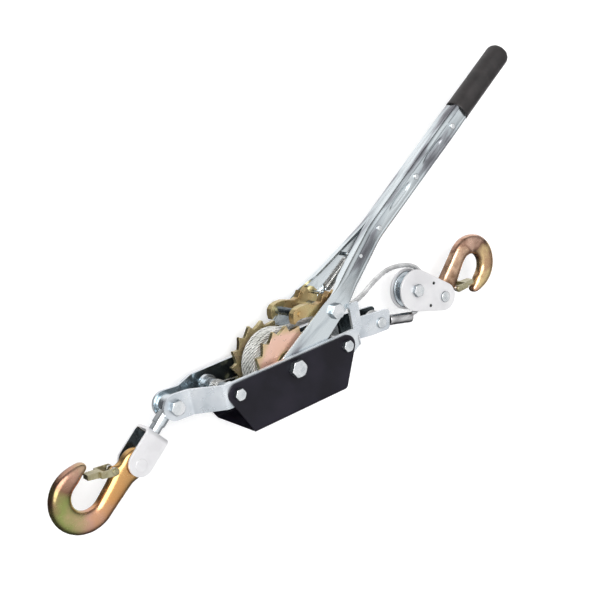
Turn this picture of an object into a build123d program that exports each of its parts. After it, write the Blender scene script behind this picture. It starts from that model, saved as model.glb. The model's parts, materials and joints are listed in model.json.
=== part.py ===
from build123d import *
import os
from math import acos, atan2, copysign, cos, degrees, hypot, pi, radians, sin, sqrt, tan

# Hand-operated cable puller, lying on its far side with the drum axle upright.
# All places are given from the drum axle, with heights from the tool's middle plane.

# ---- where the tool stands (mm) ----
AXLE_X = -73.7
AXLE_Y = -102.5
MID = 54.0

# ---- frame ----
PLATE = 4.0
PLATE_MID = 37.3
PLATE_LOW = -13.5
PLATE_HIGH = 15.0
EAR = (-149.0, 4.5)
EAR_R = 15.5
EAR_MID = 12.0
CLEVIS_MID = 15.0
ANCHOR = (154.0, -1.0)
FRONT_BOLT = (-83.0, 0.0)
REAR_BOLT = (77.0, 0.0)
LUG_LEFT, LUG_RIGHT, LUG_TOP = 93.0, 107.0, 46.0
GUARD_SHEET = 2.5
GUARD_OUT = 41.8
GUARD_BOTTOM = -53.0
AXLE_R = 6.0
GUARD_BOLT_R = 4.0
EAR_BOLT_R = 5.0
ANCHOR_R = 4.5
GAP = 0.05

# ---- drum ----
TEETH = 16
TIP_R = 48.4
ROOT_R = 41.5
FIRST_TIP = 148.9
WHEEL_LOW, WHEEL_HIGH = 22.0, 28.0
STEEP = 4.8
SPOOL_R = 20.0
BUSH_R = 10.0
COIL_R = 41.0

# ---- rope, a 1/4 inch wire rope ----
ROPE_D = 6.4
ROPE_ROUTE = [
    (25.0, 36.6), (58.0, 33.7), (93.0, 31.6), (125.0, 30.9), (145.5, 35.8), (165.0, 47.0),
    (190.0, 55.8), (215.5, 54.6), (237.5, 46.5), (247.0, 34.0), (249.6, 19.0), (245.8, 4.5),
    (237.5, -7.5), (227.0, -13.9), (218.2, -14.4),
]
EYE_LOOP_R = 10.3
FERRULE_START = (180.5, -9.0)
FERRULE_END = (217.5, -17.6)
FERRULE_HALF_WIDE = 6.9
FERRULE_HALF_HIGH = 5.6

# ---- handle ----
HANDLE_ANGLE = 32.2
HANDLE_SHEET = 3.3
ARM_MID = 33.15
BOX_MID = 10.4
FORK_START, FORK_END = 108.0, 208.5
FLANGE_START = 110.5
GRIP_START, GRIP_END = 417.0, 532.0
GRIP_R = 16.0
TANG_END = 505.0
TANG_HALF = 9.6
RIVETS_U = (215.0, 302.0, 391.0)

# ---- drive pawl ----
PAWL_PIVOT = (75.7, 44.2)
PAWL_BOLT_R = 5.0
PAWL_LIFT = 3.3
CLAW_LOW, CLAW_HIGH = 18.0, 27.8
CROSS_PIN = (29.0, 52.0)
SPRING_PIN = (85.0, 59.5)
SPRING_HIGH = (138.0, 92.5)
SPRING_R = 5.6

# ---- stop pawl ----
STOP_DROP = 8.0
STOP_LOW, STOP_HIGH = 22.8, 27.8

# ---- hook link, bracket and hooks ----
LINK_ANGLE = 218.1
BRACKET_PIN = (-207.0, -41.0)
BASE_AT = 34.5
STRAP = 3.5
STRAP_OUT = 14.5
STRAP_HALF = 15.5
HOOK_PIN_R = 6.0
FRONT_HOOK_ANGLE = -170.3
REAR_HOOK_ANGLE = 19.2
HOOK_HALF = 8.0
SEAT = (67.0, 0.0)
SEAT_R = 17.5
BOWL = (70.0, 1.8)
BOWL_R = 39.5
TIP = (56.5, -31.0)
TIP_ROUND = 6.5
EYE_R = 18.0
LATCH_PIVOT = (27.5, -8.0)
LATCH_END = (57.0, -18.2)
LATCH_RIVET_R = 2.2

# ---- pulley block ----
SHEAVE = (226.0, 17.5)
BLOCK_PIN = (271.5, -6.2)
CHEEK_IN, CHEEK_OUT = 8.6, 11.4
CHEEK_R, CHEEK_PIN_R = 27.0, 18.5
SHEAVE_R = 24.3
GROOVE_R = 15.9
SHEAVE_HALF = 7.6
SHEAVE_BOLT_R = 5.0


def level(height=0.0, x=0.0, y=0.0, angle=0.0):
    """Horizontal plane at a height from the middle plane, its x axis turned by angle."""
    turn = radians(angle)
    return Plane(
        origin=(AXLE_X + x, AXLE_Y + y, MID + height),
        x_dir=(cos(turn), sin(turn), 0),
        z_dir=(0, 0, 1),
    )


def upright(x=0.0, y=0.0, angle=0.0):
    """Vertical plane whose x axis lies along angle and whose y axis is up."""
    turn = radians(angle)
    return Plane(
        origin=(AXLE_X + x, AXLE_Y + y, MID),
        x_dir=(cos(turn), sin(turn), 0),
        z_dir=(sin(turn), -cos(turn), 0),
    )


def axis_at(x, y):
    """Upright axis through a place given from the drum axle."""
    return Axis((AXLE_X + x, AXLE_Y + y, MID), (0, 0, 1))


def polar(radius, angle):
    """Point at a radius and an angle in degrees."""
    return radius * cos(radians(angle)), radius * sin(radians(angle))


def save(built, name):
    """Label a finished piece and write it."""
    built.part.label = name
    export_step(built.part, f"parts/{name}.step")


def bar(x, y, low, high, radius, mode=Mode.ADD):
    """Upright round bar, or a hole with Mode.SUBTRACT."""
    with BuildSketch(level(low, x, y)) as disc:
        Circle(radius)
    extrude(disc.sketch, amount=high - low, mode=mode)


def hexagon(x, y, base, height, flats):
    """Hexagon head or nut whose outer corners are turned off; a negative height goes down."""
    with BuildSketch(level(base, x, y)) as prism:
        RegularPolygon(flats / 2, 6, major_radius=False)
    extrude(prism.sketch, amount=height)
    inner, outer = 0.48 * flats, flats / sqrt(3) + 0.5
    drop = copysign((outer - inner) * tan(radians(30)), height)
    with BuildSketch(upright(x, y)) as ring:
        with BuildLine():
            Polyline(
                (inner, base + height), (outer, base + height), (outer, base + height - drop), close=True
            )
        make_face()
    revolve(ring.sketch, axis=axis_at(x, y), mode=Mode.SUBTRACT)


# ---------------------------------------------------------------- frame


def side_plate(name, side):
    """Bent side plate: flat beside the drum, drawn in to a front ear and a rear clevis ear."""
    heights = [(-175, EAR_MID), (-129, EAR_MID), (-97, PLATE_MID), (100, PLATE_MID)]
    heights += [(114, CLEVIS_MID), (185, CLEVIS_MID)]
    with BuildPart() as plate:
        with BuildSketch(upright()):
            with BuildLine():
                FilletPolyline(*[(x, side * h) for x, h in heights], radius=7)
            trace(line_width=PLATE)
        extrude(amount=60, both=True)
        with BuildSketch(level(-60)) as outline:
            with Locations(EAR):
                Circle(EAR_R)
            with Locations((-96, (PLATE_LOW + PLATE_HIGH) / 2)):
                Rectangle(4, PLATE_HIGH - PLATE_LOW)
            make_hull()
            with BuildLine():
                Polyline(
                    (-97, PLATE_LOW), (87, PLATE_LOW), (98, -7), (114, -8.5), (138, -12.0),
                    (166, -13.0), (171.5, 12.5), (114, 18), (100, PLATE_HIGH), (-97, PLATE_HIGH), close=True,
                )
            make_face()
            fillet(outline.vertices().sort_by(Axis.X)[-2:], 5)
            with Locations(EAR):
                Circle(EAR_BOLT_R + GAP, mode=Mode.SUBTRACT)
            with Locations(FRONT_BOLT, REAR_BOLT):
                Circle(GUARD_BOLT_R + GAP, mode=Mode.SUBTRACT)
            with Locations(ANCHOR):
                Circle(ANCHOR_R + GAP, mode=Mode.SUBTRACT)
            Circle(AXLE_R + GAP, mode=Mode.SUBTRACT)
        extrude(amount=120, mode=Mode.INTERSECT)
        with BuildSketch(level(side * PLATE_MID - PLATE / 2)) as lug:
            with BuildLine():
                Polyline(
                    (LUG_LEFT, 4), (97, 4), (LUG_RIGHT, 15), (LUG_RIGHT, LUG_TOP),
                    (LUG_LEFT, LUG_TOP), close=True,
                )
            make_face()
        extrude(lug.sketch, amount=PLATE)
    save(plate, name)


def guard():
    """Black channel over both side plates, open at the top, its ends sloped."""
    middle = GUARD_OUT - GUARD_SHEET / 2
    floor = GUARD_BOTTOM + GUARD_SHEET / 2
    section = Plane(origin=(AXLE_X, AXLE_Y, MID), x_dir=(0, 1, 0), z_dir=(1, 0, 0))
    with BuildPart() as channel:
        with BuildSketch(section):
            with BuildLine():
                FilletPolyline(
                    (20, middle), (floor, middle), (floor, -middle), (20, -middle), radius=4.25
                )
            trace(line_width=GUARD_SHEET)
        extrude(amount=120, both=True)
        with BuildSketch(level(-60)):
            with Locations(FRONT_BOLT, REAR_BOLT):
                Circle(13)
            with Locations((-68.5, GUARD_BOTTOM + 4), (62.5, GUARD_BOTTOM + 4)):
                Circle(4)
            make_hull()
            with Locations(FRONT_BOLT, REAR_BOLT):
                Circle(GUARD_BOLT_R + GAP, mode=Mode.SUBTRACT)
            Circle(AXLE_R + GAP, mode=Mode.SUBTRACT)
        extrude(amount=120, mode=Mode.INTERSECT)
    save(channel, "guard")


def frame_fasteners():
    """Bolts, nuts, spacer tubes and the anchor pin."""
    with BuildPart() as axle:
        hexagon(0, 0, GUARD_OUT, 7.5, 19)
        bar(0, 0, -MID, GUARD_OUT, AXLE_R)
    save(axle, "axle_bolt")
    with BuildPart() as axle_nut:
        hexagon(0, 0, -GUARD_OUT, -9.8, 19)
        bar(0, 0, -GUARD_OUT - 9.8, -GUARD_OUT, AXLE_R + GAP, Mode.SUBTRACT)
    save(axle_nut, "axle_nut")
    with BuildPart() as bolts:
        for x, y in (FRONT_BOLT, REAR_BOLT):
            hexagon(x, y, GUARD_OUT, 5.3, 13)
            bar(x, y, -50, GUARD_OUT, GUARD_BOLT_R)
    save(bolts, "guard_bolts")
    with BuildPart() as nuts:
        for x, y in (FRONT_BOLT, REAR_BOLT):
            hexagon(x, y, -GUARD_OUT, -6.5, 13)
            bar(x, y, -50, -GUARD_OUT, GUARD_BOLT_R + GAP, Mode.SUBTRACT)
    save(nuts, "guard_nuts")
    inside = PLATE_MID - PLATE / 2
    for name, (x, y) in (("front_spacer_tube", FRONT_BOLT), ("rear_spacer_tube", REAR_BOLT)):
        with BuildPart() as spacer:
            bar(x, y, -inside, inside, 7.0)
            bar(x, y, -inside, inside, GUARD_BOLT_R + GAP, Mode.SUBTRACT)
        save(spacer, name)
    ear_out = EAR_MID + PLATE / 2
    with BuildPart() as ear_bolt:
        hexagon(*EAR, ear_out, 6.4, 16)
        bar(*EAR, -ear_out - 11, ear_out, EAR_BOLT_R)
    save(ear_bolt, "front_bolt")
    with BuildPart() as ear_nut:
        hexagon(*EAR, -ear_out, -8.0, 16)
        bar(*EAR, -ear_out - 8, -ear_out, EAR_BOLT_R + GAP, Mode.SUBTRACT)
    save(ear_nut, "front_nut")
    clevis_out = CLEVIS_MID + PLATE / 2
    with BuildPart() as pin:
        bar(*ANCHOR, clevis_out, clevis_out + 2.6, 6.8)
        fillet(pin.edges().group_by(Axis.Z)[-1], 1.0)
        bar(*ANCHOR, -clevis_out - 5, clevis_out, ANCHOR_R)
    save(pin, "anchor_pin")
    with BuildPart() as clip:
        bar(*ANCHOR, -clevis_out - 2.2, -clevis_out - 0.2, 7.5)
        bar(*ANCHOR, -clevis_out - 2.2, -clevis_out - 0.2, ANCHOR_R + GAP, Mode.SUBTRACT)
    save(clip, "anchor_pin_clip")


# ---------------------------------------------------------------- rope


def corner_radii(points):
    """Arc radius at each corner: 0.45 of the shorter run over the tangent of half the turn."""
    radii = []
    for before, here, after in zip(points, points[1:], points[2:]):
        run_in = (here[0] - before[0], here[1] - before[1])
        run_out = (after[0] - here[0], after[1] - here[1])
        turn = atan2(run_out[1], run_out[0]) - atan2(run_in[1], run_in[0])
        turn = abs((degrees(turn) + 180) % 360 - 180)
        shorter = min(hypot(*run_in), hypot(*run_out))
        radii.append(0.45 * shorter / tan(radians(turn / 2)))
    return radii


def rope_tube(points, radii, close=False):
    """Round tube along straight runs joined by arcs, in the tool's middle plane."""
    with BuildPart() as tube:
        with BuildLine(level()) as path:
            FilletPolyline(*points, radius=radii, close=close)
        start = path.line @ 0
        with BuildSketch(Plane(origin=start, z_dir=path.line % 0)):
            Circle(ROPE_D / 2)
        sweep()
    length = sum(edge.length for edge in path.line.edges())
    print("rope length:", round(length, 1))
    print("volume over section x length:", round(tube.part.volume / (pi * ROPE_D**2 / 4 * length), 4))
    return tube


def rope_pieces():
    """Free rope span, the eye round its thimble, and the swaged ferrule."""
    radii = corner_radii(ROPE_ROUTE)
    print("rope radii:", [round(r, 1) for r in radii])
    save(rope_tube(ROPE_ROUTE, radii), "rope_span")

    along = degrees(atan2(FERRULE_END[1] - FERRULE_START[1], FERRULE_END[0] - FERRULE_START[0]))
    length = hypot(FERRULE_END[0] - FERRULE_START[0], FERRULE_END[1] - FERRULE_START[1])
    to_ferrule = degrees(atan2(FERRULE_START[1] - ANCHOR[1], FERRULE_START[0] - ANCHOR[0]))
    reach = hypot(FERRULE_START[0] - ANCHOR[0], FERRULE_START[1] - ANCHOR[1]) - 1.6
    strand = ROPE_D / 2 + 0.1
    first = degrees(atan2(strand, reach)) + degrees(acos(EYE_LOOP_R / hypot(reach, strand)))
    bend = (180 - first) / 3 * 2
    corner = EYE_LOOP_R / cos(radians(bend / 2))
    local = [(reach, strand), polar(corner, first + bend / 2), polar(corner, 180)]
    local += [polar(corner, -first - bend / 2), (reach, -strand)]
    eye_points = []
    for x, y in local:
        dx, dy = polar(hypot(x, y), degrees(atan2(y, x)) + to_ferrule)
        eye_points.append((ANCHOR[0] + dx, ANCHOR[1] + dy))
    save(rope_tube(eye_points, EYE_LOOP_R * 0.97), "rope_eye")

    with BuildPart() as thimble:
        with BuildSketch(upright(*ANCHOR)):
            with BuildLine():
                Polyline(
                    (ANCHOR_R + GAP, -5.5), (9.4, -5.5), (6.9, -2.6), (6.9, 2.6), (9.4, 5.5),
                    (ANCHOR_R + GAP, 5.5), close=True,
                )
            make_face()
        revolve(axis=axis_at(*ANCHOR))
    save(thimble, "rope_thimble")

    face = Plane(
        origin=(AXLE_X + FERRULE_START[0], AXLE_Y + FERRULE_START[1], MID),
        x_dir=(-sin(radians(along)), cos(radians(along)), 0),
        z_dir=(cos(radians(along)), sin(radians(along)), 0),
    )
    with BuildPart() as ferrule:
        with BuildSketch(face):
            Ellipse(FERRULE_HALF_WIDE, FERRULE_HALF_HIGH)
        extrude(amount=length)
        fillet(ferrule.edges().sort_by(Axis.X)[-1], 1.5)
    save(ferrule, "rope_ferrule")


# ---------------------------------------------------------------- drum


def ratchet_wheel(name, low):
    """Sixteen-tooth wheel: hooked steep faces and long rising backs."""
    pitch = 360 / TEETH
    with BuildPart() as wheel:
        with BuildSketch(level(low)):
            Circle(ROOT_R)
            for number in range(TEETH):
                tip = FIRST_TIP + number * pitch
                start, back = tip - STEEP, tip + pitch - STEEP
                with BuildLine():
                    ThreePointArc(polar(ROOT_R, start), polar(44.4, tip - 1.9), polar(TIP_R, tip))
                    Line(polar(TIP_R, tip), polar(TIP_R - 0.4, tip + 2.2))
                    ThreePointArc(
                        polar(TIP_R - 0.4, tip + 2.2), polar(44.2, tip + 9.0), polar(ROOT_R, back)
                    )
                    Line(polar(ROOT_R, back), polar(ROOT_R - 3, back))
                    Line(polar(ROOT_R - 3, back), polar(ROOT_R - 3, start))
                    Line(polar(ROOT_R - 3, start), polar(ROOT_R, start))
                make_face()
            Circle(SPOOL_R, mode=Mode.SUBTRACT)
        extrude(amount=WHEEL_HIGH - WHEEL_LOW)
    save(wheel, name)


def drum():
    """Spool, its bush, the two wheels and the rope wound between them."""
    ratchet_wheel("ratchet_wheel_near", WHEEL_LOW)
    ratchet_wheel("ratchet_wheel_far", -WHEEL_HIGH)
    with BuildPart() as spool:
        bar(0, 0, -29.0, 29.0, SPOOL_R)
        bar(0, 0, -29.0, 29.0, BUSH_R, Mode.SUBTRACT)
    save(spool, "drum_spool")
    with BuildPart() as bush:
        bar(0, 0, -31.2, 31.2, BUSH_R)
        bar(0, 0, -31.2, 31.2, AXLE_R + GAP, Mode.SUBTRACT)
    save(bush, "drum_bush")
    with BuildPart() as coil:
        with BuildSketch(upright()):
            with BuildLine():
                Polyline(
                    (SPOOL_R, -21.9), (37, -21.9), (COIL_R - 1.4, -18), (COIL_R, -13),
                    (COIL_R, 13), (COIL_R - 1.4, 18), (37, 21.9), (SPOOL_R, 21.9), close=True,
                )
            make_face()
        revolve(axis=axis_at(0, 0))
    save(coil, "rope_coil")


# ---------------------------------------------------------------- handle


def handle_half(name, side):
    """Pressed half: a flat arm low down, a flanged channel above, half of the closed box on top."""
    reach = [(-30, ARM_MID), (FORK_START, ARM_MID), (FORK_END, BOX_MID)]
    reach += [(GRIP_START - 9, BOX_MID), (GRIP_START - 4, TANG_HALF - 1.65), (TANG_END, TANG_HALF - 1.65)]
    flange_depth = 11.9
    inner = [(u, h - flange_depth / 2 + HANDLE_SHEET / 2) for u, h in reach[1:4]]
    inner[0] = (inner[0][0] - 4, inner[0][1])
    with BuildPart() as half:
        with BuildSketch(upright(angle=HANDLE_ANGLE)):
            with BuildLine():
                FilletPolyline(*[(u, side * h) for u, h in reach], radius=[20, 20, 3, 3])
            trace(line_width=HANDLE_SHEET)
        extrude(amount=60, both=True)
        with BuildSketch(level(-60, angle=HANDLE_ANGLE)) as outline:
            with BuildLine():
                Polyline(
                    (0, -19), (60, -17.5), (100, -14), (222, -13.2), (408, -14), (412, -TANG_HALF),
                    (TANG_END, -TANG_HALF), (TANG_END, TANG_HALF), (412, TANG_HALF), (408, 14),
                    (222, 13.2), (110, 14), (60, 17), (0, 19), close=True,
                )
            make_face()
            Circle(19)
            Circle(AXLE_R + GAP, mode=Mode.SUBTRACT)
            with Locations(in_handle(PAWL_PIVOT)):
                Circle(PAWL_BOLT_R + GAP, mode=Mode.SUBTRACT)
            with Locations(in_handle(SPRING_HIGH), *[(u, 0) for u in RIVETS_U]):
                Circle(2.5 + GAP, mode=Mode.SUBTRACT)
        extrude(amount=120, mode=Mode.INTERSECT)
    with BuildPart() as flanges:
        with BuildSketch(upright(angle=HANDLE_ANGLE)):
            with BuildLine():
                Polyline(*[(u, side * h) for u, h in inner])
            trace(line_width=flange_depth)
        extrude(amount=60, both=True)
        with BuildSketch(level(-60, angle=HANDLE_ANGLE)):
            with BuildLine():
                Polyline(
                    (FLANGE_START, 14.0), (222, 13.2), (407, 14), (407, 14 - HANDLE_SHEET),
                    (222, 13.2 - HANDLE_SHEET), (FLANGE_START, 14.0 - HANDLE_SHEET), close=True,
                )
            make_face()
            mirror(about=Plane.XZ)
        extrude(amount=120, mode=Mode.INTERSECT)
    with BuildPart() as whole:
        add(half.part)
        add(flanges.part)
        low, high = (0, 60) if side > 0 else (-60, 0)
        with BuildSketch(level(low, angle=HANDLE_ANGLE)):
            with Locations((250, 0)):
                Rectangle(600, 60)
        extrude(amount=high - low, mode=Mode.INTERSECT)
    save(whole, name)


def in_handle(place):
    """Distances along and across the handle of a place given from the drum axle."""
    return polar(hypot(*place), degrees(atan2(place[1], place[0])) - HANDLE_ANGLE)


def handle():
    """Both halves, the grip, the rivets, and the pawl's bolt and nut."""
    handle_half("handle_half_near", 1)
    handle_half("handle_half_far", -1)
    grip_axis = Axis((AXLE_X, AXLE_Y, MID), (*polar(1, HANDLE_ANGLE), 0))
    with BuildPart() as grip:
        with BuildSketch(level(angle=HANDLE_ANGLE)):
            with BuildLine():
                start = (GRIP_START, 0)
                Polyline(start, (GRIP_START, GRIP_R), (GRIP_END - 9, GRIP_R))
                ThreePointArc(
                    (GRIP_END - 9, GRIP_R), (GRIP_END - 2.8, GRIP_R - 4), (GRIP_END, GRIP_R - 10)
                )
                Polyline((GRIP_END, GRIP_R - 10), (GRIP_END, 0), start)
            make_face()
        revolve(axis=grip_axis)
        pocket = Plane(
            origin=(*[a + b for a, b in zip((AXLE_X, AXLE_Y), polar(GRIP_START, HANDLE_ANGLE))], MID),
            x_dir=(0, 0, 1),
            z_dir=(*polar(1, HANDLE_ANGLE), 0),
        )
        with BuildSketch(pocket):
            Rectangle(2 * TANG_HALF + 0.1, 2 * TANG_HALF + 0.1)
        extrude(amount=TANG_END - GRIP_START + 0.1, mode=Mode.SUBTRACT)
    save(grip, "handle_grip")
    face = BOX_MID + HANDLE_SHEET / 2
    with BuildPart() as rivets:
        for u in RIVETS_U:
            x, y = polar(u, HANDLE_ANGLE)
            bar(x, y, -face - 2.0, face + 2.0, 2.5)
            bar(x, y, face, face + 2.0, 4.2)
            bar(x, y, -face - 2.0, -face, 4.2)
        fillet(rivets.edges().group_by(Axis.Z)[-1], 1.6)
        fillet(rivets.edges().group_by(Axis.Z)[0], 1.6)
    save(rivets, "handle_rivets")
    outer = ARM_MID + HANDLE_SHEET / 2
    with BuildPart() as pawl_bolt:
        hexagon(*PAWL_PIVOT, outer, 6.4, 17)
        bar(*PAWL_PIVOT, -outer - 9.5, outer, PAWL_BOLT_R)
    save(pawl_bolt, "pawl_bolt")
    with BuildPart() as pawl_nut:
        hexagon(*PAWL_PIVOT, -outer, -8.0, 17)
        bar(*PAWL_PIVOT, -outer - 8, -outer, PAWL_BOLT_R + GAP, Mode.SUBTRACT)
    save(pawl_nut, "pawl_nut")
    with BuildPart() as anchor:
        bar(*SPRING_HIGH, -22.3, 22.3, 2.5)
    save(anchor, "spring_anchor_pin")


# ---------------------------------------------------------------- drive pawl


def claw(name, low):
    """Beaked claw with a serrated thumb edge, on the pawl pivot. Drawn in its driving place."""
    px, py = PAWL_PIVOT
    outline = [
        (19.0, 42.0), (18.2, 49.0), (19.6, 54.8), (23.5, 58.8), (30, 60.8), (38, 61.2), (46.5, 59.4),
        (54.5, 57.0), (61, 58.5), (66, 66.5), (70, 61.5), (76, 67.5), (80, 61.5), (86, 66.5), (91, 60.5),
        (90, 52), (84, 36), (76, 34.0), (66, 36.0), (54, 43.5), (40, 45.6), (29, 46.6), (23, 44.8),
    ]
    with BuildPart() as plate:
        with BuildSketch(level(low, px, py, -PAWL_LIFT)) as sketch:
            with BuildLine():
                Polyline(*[(x - px, y - py) for x, y in outline], close=True)
            make_face()
            Circle(8.0)
            fillet(sketch.vertices().sort_by(Axis.X)[2:6], 1.2)
            Circle(6.6, mode=Mode.SUBTRACT)
            with Locations((CROSS_PIN[0] - px, CROSS_PIN[1] - py)):
                Circle(2.5 + GAP, mode=Mode.SUBTRACT)
            with Locations((SPRING_PIN[0] - px, SPRING_PIN[1] - py)):
                Circle(2.2 + GAP, mode=Mode.SUBTRACT)
        extrude(amount=CLAW_HIGH - CLAW_LOW)
    return plate


def pawl_place(x, y):
    """Rest place of a point that is given with the pawl in its driving place."""
    px, py = PAWL_PIVOT
    angle = degrees(atan2(y - py, x - px)) - PAWL_LIFT
    dx, dy = polar(hypot(x - px, y - py), angle)
    return px + dx, py + dy


def drive_pawl():
    """Two claws on a hub tube, tied by a cross pin and a spring pin, and the return spring."""
    save(claw("near", CLAW_LOW), "drive_claw_near")
    save(claw("far", -CLAW_HIGH), "drive_claw_far")
    with BuildPart() as hub:
        bar(*PAWL_PIVOT, -31.3, 31.3, 6.6)
        bar(*PAWL_PIVOT, -31.3, 31.3, PAWL_BOLT_R + GAP, Mode.SUBTRACT)
    save(hub, "pawl_hub_tube")
    cross = pawl_place(*CROSS_PIN)
    with BuildPart() as cross_pin:
        for low, high, radius in ((-CLAW_LOW, CLAW_LOW, 5.0), (CLAW_HIGH, CLAW_HIGH + 1.5, 3.6),
                                  (-CLAW_HIGH - 1.5, -CLAW_HIGH, 3.6)):
            bar(*cross, low, high, radius)
        bar(*cross, -CLAW_HIGH - 1.5, CLAW_HIGH + 1.5, 2.5)
    save(cross_pin, "pawl_cross_pin")
    low_end = pawl_place(*SPRING_PIN)
    with BuildPart() as spring_pin:
        bar(*low_end, -CLAW_HIGH - 1.0, CLAW_HIGH + 1.0, 2.2)
    save(spring_pin, "pawl_spring_pin")

    run = (SPRING_HIGH[0] - low_end[0], SPRING_HIGH[1] - low_end[1])
    angle = degrees(atan2(run[1], run[0]))
    reach = hypot(*run)
    with BuildPart() as spring:
        start = polar(9.0, angle)
        tube = Plane(
            origin=(AXLE_X + low_end[0] + start[0], AXLE_Y + low_end[1] + start[1], MID),
            x_dir=(0, 0, 1),
            z_dir=(*polar(1, angle), 0),
        )
        with BuildSketch(tube):
            Circle(SPRING_R)
            Circle(SPRING_R - 1.6, mode=Mode.SUBTRACT)
        extrude(amount=reach - 18)
        for (x, y), toward in ((low_end, 1), (SPRING_HIGH, -1)):
            with BuildSketch(level(-0.8, x, y, angle)) as loop:
                Circle(4.6)
                Circle(2.9, mode=Mode.SUBTRACT)
                with Locations((toward * 7.2, 0)):
                    Rectangle(7.0, 2 * SPRING_R - 0.4)
            extrude(loop.sketch, amount=1.6)
    save(spring, "drive_pawl_spring")


# ---------------------------------------------------------------- stop pawl


def stop_pawl():
    """Two claws on a hub round the front spacer tube, tied by a web, with a torsion spring."""
    px, py = FRONT_BOLT
    outline = [(42.1, -20), (45.1, -22.4), (42.2, -27.6), (28, -23.5), (4, -11), (6, 9), (20, -6), (38, -16.5)]
    for name, low in (("stop_claw_near", STOP_LOW), ("stop_claw_far", -STOP_HIGH)):
        with BuildPart() as plate:
            with BuildSketch(level(low, px, py, -STOP_DROP)):
                with BuildLine():
                    Polyline(*outline, close=True)
                make_face()
                Circle(11.5)
                Circle(8.6, mode=Mode.SUBTRACT)
            extrude(amount=STOP_HIGH - STOP_LOW)
        save(plate, name)
    with BuildPart() as hub:
        for low, high in ((7.5, STOP_HIGH), (-STOP_HIGH, -7.5)):
            bar(px, py, low, high, 8.6)
            bar(px, py, low, high, 7.0 + GAP, Mode.SUBTRACT)
    save(hub, "stop_pawl_hubs")
    with BuildPart() as web:
        with BuildSketch(level(-STOP_LOW, px, py, -STOP_DROP)):
            with Locations((26, -22.4)):
                Rectangle(12, 3.5, rotation=-32)
        extrude(amount=2 * STOP_LOW)
    save(web, "stop_pawl_web")
    with BuildPart() as spring:
        bar(px, py, -7.0, 7.0, 9.6)
        bar(px, py, -7.0, 7.0, 7.9, Mode.SUBTRACT)
        for low, angle in ((-7.0, -STOP_DROP - 40), (5.6, 14)):
            with BuildSketch(level(low, px, py, angle)) as leg:
                with Locations((8.75 + 7, 0)):
                    Rectangle(15, 1.4)
            extrude(leg.sketch, amount=1.4)
    save(spring, "stop_pawl_spring")


# ---------------------------------------------------------------- hook link and bracket


def link_point(distance):
    """Place along the link's axis, from the front bolt."""
    dx, dy = polar(distance, LINK_ANGLE)
    return EAR[0] + dx, EAR[1] + dy


def across_link(distance):
    """Plane square to the link at a distance from the front bolt; its x axis is level."""
    x, y = link_point(distance)
    return Plane(
        origin=(AXLE_X + x, AXLE_Y + y, MID),
        x_dir=(*polar(1, LINK_ANGLE + 90), 0),
        z_dir=(*polar(1, LINK_ANGLE), 0),
    )


def link_set():
    """Eye link from the front bolt, its swivel head, and the strap bracket it carries."""
    with BuildPart() as link:
        bar(*EAR, -9.5, 9.5, 12.5)
        with BuildSketch(across_link(8)):
            Ellipse(8.0, 8.0)
        extrude(amount=17)
        fillet(link.edges().filter_by(GeomType.CIRCLE).group_by(Axis.Z)[-1], 2)
        with BuildSketch(across_link(24)):
            Circle(6.8)
        extrude(amount=BASE_AT - 0.3 - 24)
        with BuildSketch(across_link(24)):
            Circle(5.0)
        extrude(amount=BASE_AT + STRAP + 7 - 24)
        bar(*EAR, -12, 12, EAR_BOLT_R + GAP, Mode.SUBTRACT)
    save(link, "hook_link")
    with BuildPart() as head:
        with BuildSketch(across_link(BASE_AT + STRAP + 0.3)):
            RegularPolygon(7.4, 6, major_radius=False)
            Circle(5.0, mode=Mode.SUBTRACT)
        extrude(amount=6.5)
    save(head, "swivel_nut")

    reach = hypot(BRACKET_PIN[0] - EAR[0], BRACKET_PIN[1] - EAR[1])
    middle = STRAP_OUT - STRAP / 2
    base = BASE_AT + STRAP / 2
    with BuildPart() as bracket:
        with BuildSketch(upright(*EAR, LINK_ANGLE)):
            with BuildLine():
                FilletPolyline(
                    (reach + 30, middle), (base, middle), (base, -middle), (reach + 30, -middle), radius=5
                )
            trace(line_width=STRAP)
        extrude(amount=40, both=True)
        with BuildSketch(level(-40, *EAR, LINK_ANGLE)):
            with BuildLine():
                Polyline(
                    (BASE_AT - 1, -STRAP_HALF), (reach - 2, -STRAP_HALF), (reach - 2, STRAP_HALF),
                    (BASE_AT - 1, STRAP_HALF), close=True,
                )
            make_face()
            with Locations((reach - 2, 0)):
                Circle(STRAP_HALF)
            with Locations((reach, 0)):
                Circle(HOOK_PIN_R + GAP, mode=Mode.SUBTRACT)
        extrude(amount=80, mode=Mode.INTERSECT)
        with BuildSketch(across_link(BASE_AT - 2)):
            Circle(5.0 + GAP)
        extrude(amount=STRAP + 4, mode=Mode.SUBTRACT)
    save(bracket, "hook_bracket")
    with BuildPart() as pin:
        bar(*BRACKET_PIN, -STRAP_OUT, STRAP_OUT, HOOK_PIN_R)
        for base_at, end in ((STRAP_OUT, STRAP_OUT + 1.4), (-STRAP_OUT - 1.4, -STRAP_OUT)):
            bar(*BRACKET_PIN, base_at, end, HOOK_PIN_R + 1.2)
    save(pin, "bracket_pin")


# ---------------------------------------------------------------- hooks and latches


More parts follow.
